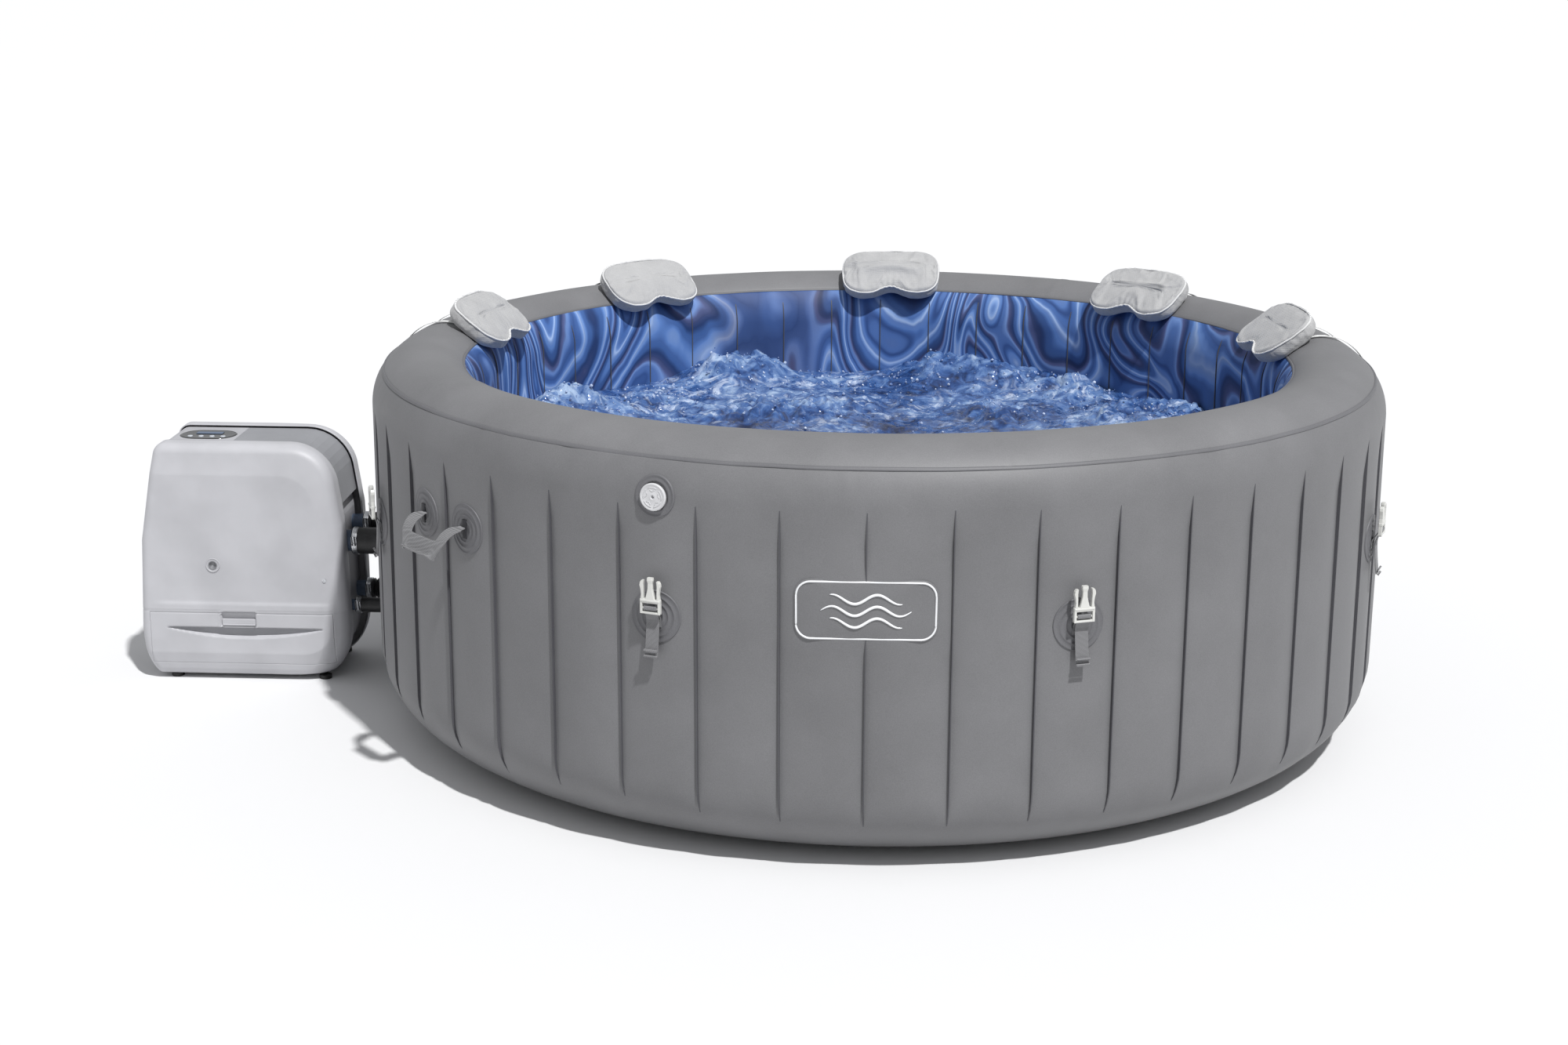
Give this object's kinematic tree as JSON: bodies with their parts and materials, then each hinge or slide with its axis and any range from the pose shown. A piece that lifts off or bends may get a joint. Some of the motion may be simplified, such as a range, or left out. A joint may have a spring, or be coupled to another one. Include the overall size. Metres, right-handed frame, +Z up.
{
  "type": "inflatable hot tub",
  "caption": "Round inflatable hot tub with upright air panels, marbled liner, rim pillows, buckles, carry handles and an outboard pump, heater and blower unit.",
  "frame": {"origin": "the tub's axis at ground level, where its base sheet rests", "axes": "+Z up, -Y the front with the badge, -X towards the pump unit"},
  "size_m": [2.7273, 2.1675, 0.8646],
  "materials": {
    "wall_laminate": "woven-look matt laminate",
    "rim_laminate": "woven-look matt laminate, lighter",
    "liner_print": "printed marble pattern under clear laminate",
    "base_laminate": "plain laminate",
    "foam": "closed-cell foam",
    "badge": "printed plate",
    "fitting_plastic": "moulded, fine texture",
    "seal_rubber": "moulded rubber",
    "webbing": "woven webbing",
    "buckle_plastic": "moulded acetal",
    "pillow_fabric": "air-mesh fabric",
    "pipe_plastic": "moulded plastic",
    "pump_shell": "fine-textured moulded plastic",
    "pump_core": "fine-textured moulded plastic",
    "pump_cover": "fine-textured moulded plastic",
    "screw_steel": "plated",
    "panel_gloss": "polished black",
    "button_plastic": "moulded",
    "board": "circuit board",
    "filter_media": "pleated paper",
    "housing_plastic": "moulded",
    "impeller_brass": "cast",
    "fan_plastic": "moulded",
    "heater_steel": "drawn tube",
    "hose_rubber": "smooth and corrugated rubber",
    "clamp_steel": "band clamp"
  },
  "bodies": {
    "tub": {"outer_wall": "wall_laminate", "rim_band": "rim_laminate", "inner_liner": "liner_print", "base_sheet": "base_laminate", "floor_pad": "foam", "wall_beams": "base_laminate", "weld_seams": "rim_laminate", "badge": "badge", "valve_body": "fitting_plastic", "valve_seal": "seal_rubber", "weld_patches": "wall_laminate", "buckle_straps": "webbing", "air_ring": "pipe_plastic", "air_duct": "pipe_plastic", "jet_manifold": "pipe_plastic", "jet_nozzles": "pipe_plastic", "wall_fittings": "pipe_plastic", "pump_front_shell": "pump_shell", "pump_rear_shell": "pump_shell", "pump_core": "pump_core", "pump_top_cover": "pump_cover", "pump_feet": "seal_rubber", "shell_screws": "screw_steel", "control_panel": "panel_gloss", "control_board": "board", "filter_cartridge": "filter_media", "flow_pump_housing": "housing_plastic", "blower_housing": "housing_plastic", "heater_tube": "heater_steel", "pump_ports": "pipe_plastic", "jet_hose": "hose_rubber", "air_hose": "hose_rubber", "inlet_hose": "hose_rubber", "outlet_hose": "hose_rubber", "hose_clamps": "clamp_steel", "cable_gland": "seal_rubber"},
    "valve_cap": {"valve_cap": "fitting_plastic"},
    "service_hatch": {"service_hatch": "pump_shell"},
    "hatch_latch": {"hatch_latch": "pump_shell"},
    "flow_impeller": {"flow_impeller": "impeller_brass"},
    "blower_fan": {"blower_fan": "fan_plastic"},
    "handle_left": {"handle_left": "webbing"},
    "handle_right": {"handle_right": "webbing"},
    "buckle_1": {"buckle_1": "buckle_plastic"},
    "buckle_2": {"buckle_2": "buckle_plastic"},
    "buckle_3": {"buckle_3": "buckle_plastic"},
    "buckle_4": {"buckle_4": "buckle_plastic"},
    "buckle_5": {"buckle_5": "buckle_plastic"},
    "buckle_6": {"buckle_6": "buckle_plastic"},
    "buckle_7": {"buckle_7": "buckle_plastic"},
    "buckle_8": {"buckle_8": "buckle_plastic"},
    "pillow_1": {"pillow_1": "pillow_fabric"},
    "pillow_2": {"pillow_2": "pillow_fabric"},
    "pillow_3": {"pillow_3": "pillow_fabric"},
    "pillow_4": {"pillow_4": "pillow_fabric"},
    "pillow_5": {"pillow_5": "pillow_fabric"},
    "button_1": {"button_1": "button_plastic"},
    "button_2": {"button_2": "button_plastic"},
    "button_3": {"button_3": "button_plastic"},
    "button_4": {"button_4": "button_plastic"}
  },
  "joints": [
    {"name": "valve_cap_turn", "type": "hinge", "parent": "tub", "child": "valve_cap", "pos_m": [-0.37882, -1.01565, 0.692], "axis": [-0.3495, -0.9369, 0], "range_deg": [0, 90]},
    {"name": "buckle_1_swing", "type": "hinge", "parent": "tub", "child": "buckle_1", "pos_m": [0.3847, -1.02893, 0.49], "axis": [0.9367, 0.3502, 0], "range_deg": [0, 120]},
    {"name": "buckle_2_swing", "type": "hinge", "parent": "tub", "child": "buckle_2", "pos_m": [-0.3847, -1.02893, 0.49], "axis": [0.9367, -0.3502, 0], "range_deg": [0, 120]},
    {"name": "buckle_3_swing", "type": "hinge", "parent": "tub", "child": "buckle_3", "pos_m": [1.02893, -0.3847, 0.49], "axis": [0.3502, 0.9367, 0], "range_deg": [0, 120]},
    {"name": "buckle_4_swing", "type": "hinge", "parent": "tub", "child": "buckle_4", "pos_m": [-1.02893, -0.3847, 0.49], "axis": [0.3502, -0.9367, 0], "range_deg": [0, 120]},
    {"name": "buckle_5_swing", "type": "hinge", "parent": "tub", "child": "buckle_5", "pos_m": [1.02893, 0.3847, 0.49], "axis": [-0.3502, 0.9367, 0], "range_deg": [0, 120]},
    {"name": "buckle_6_swing", "type": "hinge", "parent": "tub", "child": "buckle_6", "pos_m": [0.3847, 1.02893, 0.49], "axis": [-0.9367, 0.3502, 0], "range_deg": [0, 120]},
    {"name": "buckle_7_swing", "type": "hinge", "parent": "tub", "child": "buckle_7", "pos_m": [-0.3847, 1.02893, 0.49], "axis": [-0.9367, -0.3502, 0], "range_deg": [0, 120]},
    {"name": "buckle_8_swing", "type": "hinge", "parent": "tub", "child": "buckle_8", "pos_m": [-1.02893, 0.3847, 0.49], "axis": [-0.3502, -0.9367, 0], "range_deg": [0, 120]},
    {"name": "handle_left_swing", "type": "hinge", "parent": "tub", "child": "handle_left", "pos_m": [-0.82237, -0.71236, 0.56], "axis": [-0.6547, 0.7559, 0], "range_deg": [-15, 95]},
    {"name": "handle_right_swing", "type": "hinge", "parent": "tub", "child": "handle_right", "pos_m": [0.82237, 0.71236, 0.56], "axis": [0.6547, -0.7559, 0], "range_deg": [-15, 95]},
    {"name": "pillow_1_lift", "type": "slide", "parent": "tub", "child": "pillow_1", "axis": [0, 0, 1], "range_m": [0, 0.2]},
    {"name": "pillow_2_lift", "type": "slide", "parent": "tub", "child": "pillow_2", "axis": [0, 0, 1], "range_m": [0, 0.2]},
    {"name": "pillow_3_lift", "type": "slide", "parent": "tub", "child": "pillow_3", "axis": [0, 0, 1], "range_m": [0, 0.2]},
    {"name": "pillow_4_lift", "type": "slide", "parent": "tub", "child": "pillow_4", "axis": [0, 0, 1], "range_m": [0, 0.2]},
    {"name": "pillow_5_lift", "type": "slide", "parent": "tub", "child": "pillow_5", "axis": [0, 0, 1], "range_m": [0, 0.2]},
    {"name": "hatch_swing", "type": "hinge", "parent": "tub", "child": "service_hatch", "pos_m": [-1.411, -0.032, 0.048], "axis": [1, 0, 0], "range_deg": [0, 70]},
    {"name": "latch_slide", "type": "slide", "parent": "service_hatch", "child": "hatch_latch", "axis": [0, 0, -1], "range_m": [0, 0.005], "stiffness_N_per_m": 400, "springref_m": -0.002},
    {"name": "button_1_press", "type": "slide", "parent": "tub", "child": "button_1", "axis": [0, 0, -1], "range_m": [0, 0.0008], "stiffness_N_per_m": 800, "springref_m": -0.0004},
    {"name": "button_2_press", "type": "slide", "parent": "tub", "child": "button_2", "axis": [0, 0, -1], "range_m": [0, 0.0008], "stiffness_N_per_m": 800, "springref_m": -0.0004},
    {"name": "button_3_press", "type": "slide", "parent": "tub", "child": "button_3", "axis": [0, 0, -1], "range_m": [0, 0.0008], "stiffness_N_per_m": 800, "springref_m": -0.0004},
    {"name": "button_4_press", "type": "slide", "parent": "tub", "child": "button_4", "axis": [0, 0, -1], "range_m": [0, 0.0008], "stiffness_N_per_m": 800, "springref_m": -0.0004},
    {"name": "flow_impeller_spin", "type": "hinge", "parent": "tub", "child": "flow_impeller", "pos_m": [-1.53, 0.05, 0.33], "axis": [0, 1, 0], "continuous": true},
    {"name": "blower_fan_spin", "type": "hinge", "parent": "tub", "child": "blower_fan", "pos_m": [-1.33, 0.05, 0.38], "axis": [0, 1, 0], "continuous": true}
  ]
}
